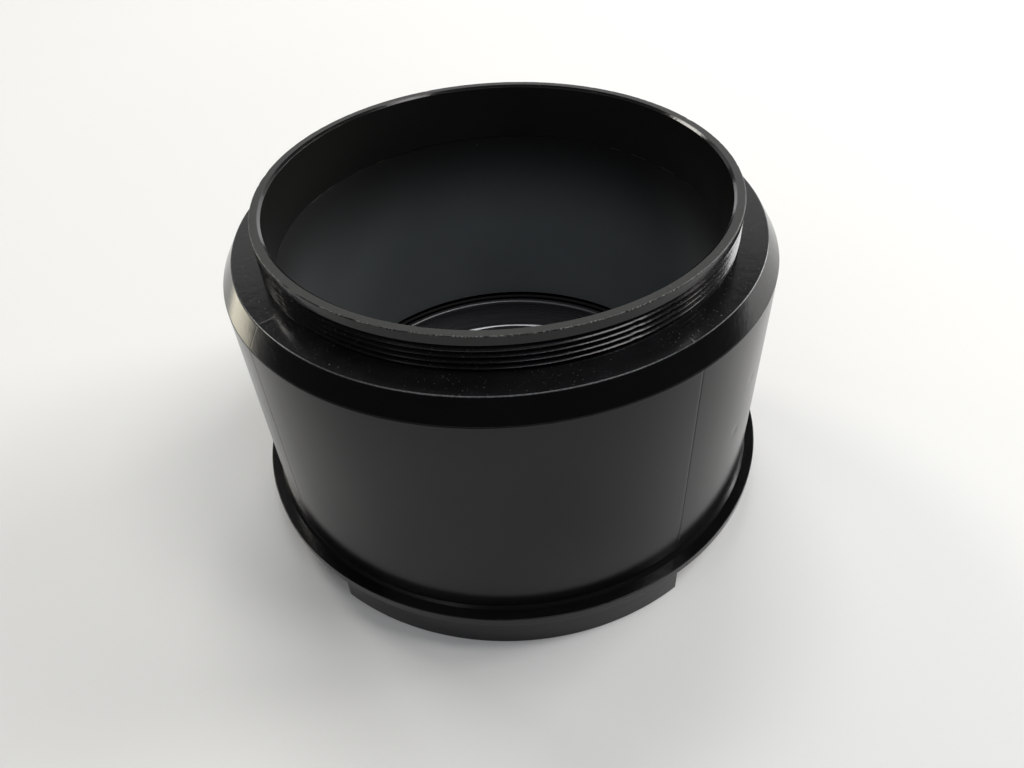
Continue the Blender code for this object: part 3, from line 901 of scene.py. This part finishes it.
def liner_matte_black():
    """Bore liner: matte black, a touch blue, with a worn top edge. Its colour is painted shade near the top
    of the bore and painted lighter lower down, standing in for light reaching the lower bore.
    """
    s = Shader("liner_matte_black")
    grain = s.noise(5.0, 4.0, 0.65)
    # Painted shade and light: near-black at the seam, easing to the lighter colours 16 mm lower
    depth = s.stretch(s.height, SEAM_HEIGHT, SEAM_HEIGHT - 16)
    cloud = s.noise(0.07, 2.0)
    worn = s.stretch(s.noise(0.35, 3.0, 0.6), 0.50, 0.62)
    worn = s.times(s.near_edge(LINER_RADIUS, SEAM_HEIGHT, 0.14), worn)
    # These lighter greys are painted light for the lower bore
    colour = s.blend(cloud, (0.110, 0.121, 0.128), (0.136, 0.149, 0.156))
    colour = s.blend(s.times(grain, 0.35), colour, (0.172, 0.186, 0.192))
    # Painted shade towards the top of the bore, painted light lower down
    colour = s.blend(depth, (0.008, 0.0082, 0.0082), colour)
    colour = s.blend(s.times(worn, 0.7), colour, (0.16, 0.15, 0.13))
    return s.finish(colour, s.mix(grain, 0.62, 0.80), s.bump(grain, 0.02, 0.5), Specular_IOR_Level=0.3)


def cell_black_anodised():
    """Lens cell and rings: turned aluminium, black anodised, with fine tool lines round the axis. The bottom
    of the trough between the hub and the wall is bare, bright metal."""
    s = Shader("cell_black_anodised")
    lines = s.noise(1.0, 4.0, 0.7, s.around(14.0, 0.02))
    bands = s.noise(1.0, 2.0, 0.5, s.around(2.2, 0.03))
    bare = s.times(s.stretch(s.radius, HUB_RADIUS + 0.1, HUB_RADIUS + 0.3),
                   s.stretch(s.radius, CELL_WALL_INSIDE + 0.08, CELL_WALL_INSIDE))
    bare = s.times(bare, s.stretch(s.height, BEVEL_HIGH + 0.05, BEVEL_HIGH - 0.05))
    bare = s.times(bare, s.stretch(s.height, CELL_FLOOR - 0.3, CELL_FLOOR - 0.1))
    black = s.blend(lines, (0.060, 0.060, 0.063), (0.086, 0.086, 0.091))
    bright = s.blend(lines, (0.52, 0.52, 0.53), (0.78, 0.78, 0.79))
    roughness = s.mix(bare, s.mix(bands, 0.22, 0.34), 0.46)
    normal = s.bump(lines, 0.006, 0.4)
    return s.finish(s.blend(bare, black, bright), roughness, normal, Metallic=0.6, Anisotropic=0.7)


def optical_glass():
    """Coated glass: nearly clear, with a slight green tint that drifts over the surface."""
    s = Shader("optical_glass")
    drift = s.noise(0.03, 1.0)
    colour = s.blend(drift, (0.90, 0.97, 0.95), (0.95, 0.985, 0.97))
    roughness = s.mix(s.stretch(s.noise(1.5, 4.0, 0.7), 0.55, 0.8), 0.012, 0.05)
    return s.finish(
        colour, roughness, Transmission_Weight=1.0, IOR=1.62,
        Coat_Weight=0.35, Coat_Roughness=0.02, Coat_Tint=(0.75, 1.0, 0.88, 1.0),
    )


def screw_steel():
    """Screws and pin: blackened steel, rubbed bright on the high spots."""
    s = Shader("screw_steel")
    patches = s.stretch(s.noise(2.4, 4.0, 0.65), 0.42, 0.66)
    scratches = s.noise(12.0, 2.0, 0.5)
    colour = s.blend(patches, (0.045, 0.045, 0.048), (0.30, 0.29, 0.27))
    roughness = s.mix(scratches, 0.24, 0.46)
    return s.finish(colour, roughness, s.bump(scratches, 0.01, 0.4), Metallic=1.0)


def seal_rubber():
    """Seal and cushion: dull black rubber with bloom and moulding grit."""
    s = Shader("seal_rubber")
    grit = s.noise(9.0, 3.0, 0.6)
    bloom = s.noise(0.5, 2.0)
    colour = s.blend(bloom, (0.004, 0.004, 0.004), (0.008, 0.008, 0.0078))
    return s.finish(colour, s.mix(grit, 0.75, 0.92), s.bump(grit, 0.02, 0.5))


def paper():
    """Floor: plain white paper with a barely visible fibre."""
    s = Shader("paper")
    fibre = s.noise(1.4, 5.0, 0.6)
    cloud = s.noise(0.006, 2.0)
    colour = s.blend(cloud, (0.78, 0.775, 0.765), (0.82, 0.818, 0.81))
    colour = s.blend(s.times(fibre, 0.25), colour, (0.74, 0.735, 0.72))
    return s.finish(colour, 0.75, s.bump(fibre, 0.03, 0.25))


# ---------------------------------------------------------------- assembly

def place_piece(piece, body, material, slot, *nodes):
    piece.data.materials.clear()
    piece.data.materials.append(material)
    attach(piece, body)
    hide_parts(*nodes)


def build_object():
    """Every piece, on the body that carries it."""
    matte, gloss, lining = matte_black_plastic(), gloss_black_plastic(), liner_matte_black()
    anodised, glass, steel, rubber = cell_black_anodised(), optical_glass(), screw_steel(), seal_rubber()
    place_piece(barrel(), "barrel", matte, "matte_black_plastic", "barrel_sleeve")
    place_piece(front_ring(), "barrel", gloss, "gloss_black_plastic", "front_thread_ring")
    place_piece(liner(), "barrel", lining, "liner_matte_black", "baffle_tube")
    place_piece(foot_ring(), "barrel", gloss, "gloss_black_plastic", "bayonet_ring")
    for number, angle in enumerate(screw_angles(), 1):
        screw = flange_screw(number, angle)
        place_piece(screw, "barrel", steel, "screw_steel", f"flange_screw_{number}")
    place_piece(stop_pin(), "barrel", steel, "screw_steel", "bayonet_stop_pin")
    place_piece(light_seal(), "barrel", rubber, "seal_rubber", "light_seal_ring")
    place_piece(cell(), "cell", anodised, "cell_black_anodised", "lens_cell")
    front = lens("front_glass", "front_element", FRONT_CURVE, INNER_CURVE, True, False)
    place_piece(front, "cell_glass", glass, "optical_glass", "front_element")
    rear = lens("rear_glass", "rear_element", INNER_CURVE, REAR_CURVE, False, False)
    place_piece(rear, "cell_glass", glass, "optical_glass", "rear_element")
    spacer = plain_ring("glass_spacer", "element_spacer", SPACER_INNER, 0.05)
    place_piece(spacer, "cell_glass", anodised, "cell_black_anodised", "element_spacer")
    cushion = plain_ring("glass_cushion", "cushion_ring", CUSHION_INNER, 0.08)
    place_piece(cushion, "cushion", rubber, "seal_rubber", "cushion_ring")
    place_piece(retainer(), "retainer", anodised, "cell_black_anodised", "retaining_ring")


# ---------------------------------------------------------------- stage, light and camera

def stage():
    bm = bmesh.new()
    bmesh.ops.create_grid(bm, x_segments=8, y_segments=8, size=2.0)
    floor = add_object("floor", finish_mesh("floor", bm))
    floor.data.materials.append(paper())


# Soft lights that look at the object: name, direction, distance, (width, height) in metres, watts, colour
SOFT_LIGHTS = [
    ("ceiling_right", (0.43, -0.08, 0.90), 0.9, (0.18, 0.34), 1.7, (1.0, 0.99, 0.97)),
    ("streak_left", (-0.50, 0.54, 0.68), 0.9, (0.20, 0.14), 1.6, (1.0, 0.97, 0.90)),
    ("soft_left", (-0.45, -0.45, 0.77), 1.0, (0.60, 0.60), 1.1, (0.97, 0.99, 1.0)),
    ("high_front", (0.10, -0.34, 0.92), 0.9, (0.34, 0.13), 1.1, (0.92, 0.96, 1.0)),
    ("window_back", (0.25, 0.93, 0.26), 1.3, (1.6, 0.40), 4.3, (0.98, 0.99, 1.0)),
    ("back_high", (0.0, 0.52, 0.855), 1.2, (0.5, 0.30), 3.6, (1.0, 0.99, 0.97)),
    ("wall_back", (0.0, 0.86, 0.52), 1.3, (1.6, 0.30), 1.1, (1.0, 0.99, 0.96)),
    ("side_left", (-0.83, 0.40, 0.40), 1.0, (0.17, 0.17), 0.5, (1.0, 0.95, 0.85)),
    ("side_right", (0.86, 0.38, 0.33), 1.0, (0.6, 0.35), 7.3, (1.0, 1.0, 0.99)),
    ("high_right", (0.77, 0.12, 0.63), 0.9, (0.17, 0.17), 0.8, (1.0, 0.97, 0.92)),
]


def soft_light(name, direction, distance, size, power, colour):
    light = bpy.data.lights.new(name, "AREA")
    light.shape = "RECTANGLE"
    light.size, light.size_y = size
    light.energy = power
    light.color = colour
    lamp = bpy.data.objects.new(name, light)
    bpy.context.scene.collection.objects.link(lamp)
    towards = Vector(direction).normalized()
    lamp.location = towards * distance
    lamp.rotation_euler = towards.to_track_quat("Z", "Y").to_euler()
    return lamp


def low_panel():
    """A warm panel that lies on the floor to the left and glows upward. The gloss chamfer mirrors it."""
    panel = soft_light("low_panel", (0, 0, 1), 0.0, (0.19, 0.07), 0.175, (1.0, 0.93, 0.72))
    panel.location = (-0.245, 0.085, 0.002)
    panel.rotation_euler = (math.pi, 0, 0)
    panel.visible_camera = False


def room():
    """Faint cool light from all round."""
    world = bpy.data.worlds.new("studio")
    world.use_nodes = True
    background = world.node_tree.nodes["Background"]
    background.inputs["Color"].default_value = (0.95, 0.98, 1.0, 1.0)
    background.inputs["Strength"].default_value = 0.05
    bpy.context.scene.world = world
    bpy.context.scene.view_settings.view_transform = "Standard"


def camera():
    """Close above the front of the object, a little tilted."""
    elevation, distance = math.radians(46.566), 0.1280
    pan, tilt, roll = math.radians(-0.204), math.radians(3.888), math.radians(3.826)
    place = Vector((0, -math.cos(elevation), math.sin(elevation))) * distance
    forward, right = -place.normalized(), Vector((1, 0, 0))
    up = right.cross(forward)
    turn = Matrix.Rotation(pan, 3, up)
    forward, right = turn @ forward, turn @ right
    turn = Matrix.Rotation(tilt, 3, right)
    forward, up = turn @ forward, turn @ up
    turn = Matrix.Rotation(roll, 3, forward)
    right, up = turn @ right, turn @ up
    data = bpy.data.cameras.new("camera")
    data.sensor_width = 36.0
    data.lens = 28.78
    data.clip_start = 0.005
    view = bpy.data.objects.new("camera", data)
    view.matrix_world = Matrix.Translation(place) @ Matrix((right, up, -forward)).transposed().to_4x4()
    bpy.context.scene.collection.objects.link(view)
    bpy.context.scene.camera = view


camera()
build_object()
stage()
for lamp in SOFT_LIGHTS:
    soft_light(*lamp)
low_panel()
room()
